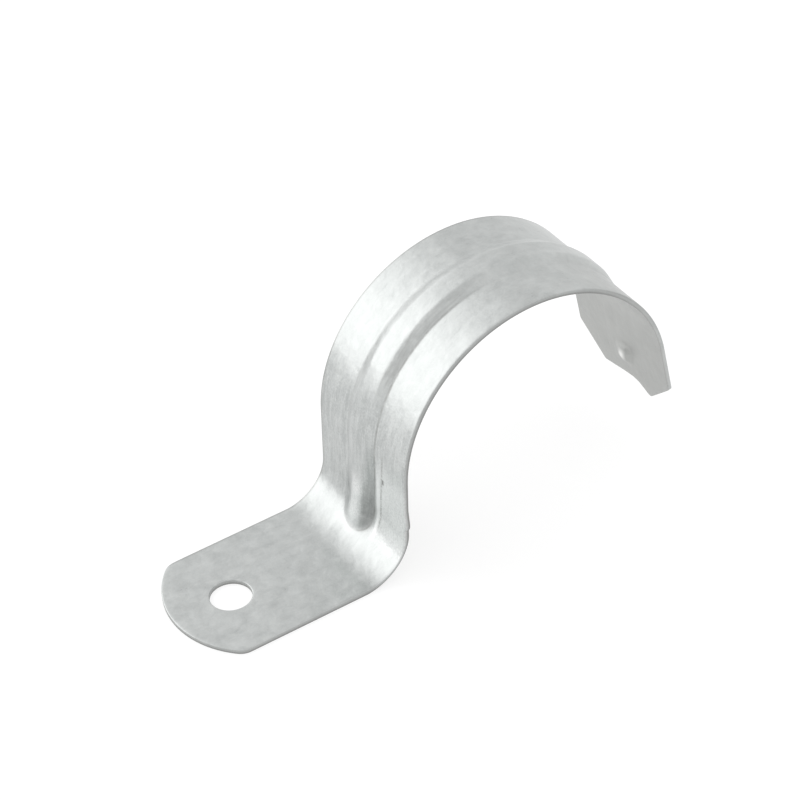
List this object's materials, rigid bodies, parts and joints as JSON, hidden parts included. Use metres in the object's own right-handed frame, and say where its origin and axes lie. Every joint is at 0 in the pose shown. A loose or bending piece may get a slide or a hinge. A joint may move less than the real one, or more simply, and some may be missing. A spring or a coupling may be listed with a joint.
{
  "type": "conduit strap",
  "caption": "Pressed steel conduit strap: a flat foot with a screw hole, a ribbed arch over the conduit and a free end with a notched tip and a nub.",
  "frame": {"origin": "centre of the screw hole on the foot's mounting face", "axes": "+Z away from the wall along the screw hole, +X from the foot towards the arch and the free end, +Y across the strip along the conduit"},
  "size_m": [0.0926, 0.0254, 0.045],
  "materials": {
    "galvanised_steel": "satin, mottled zinc coating"
  },
  "bodies": {
    "root": {"strap": "galvanised_steel"}
  },
  "joints": []
}
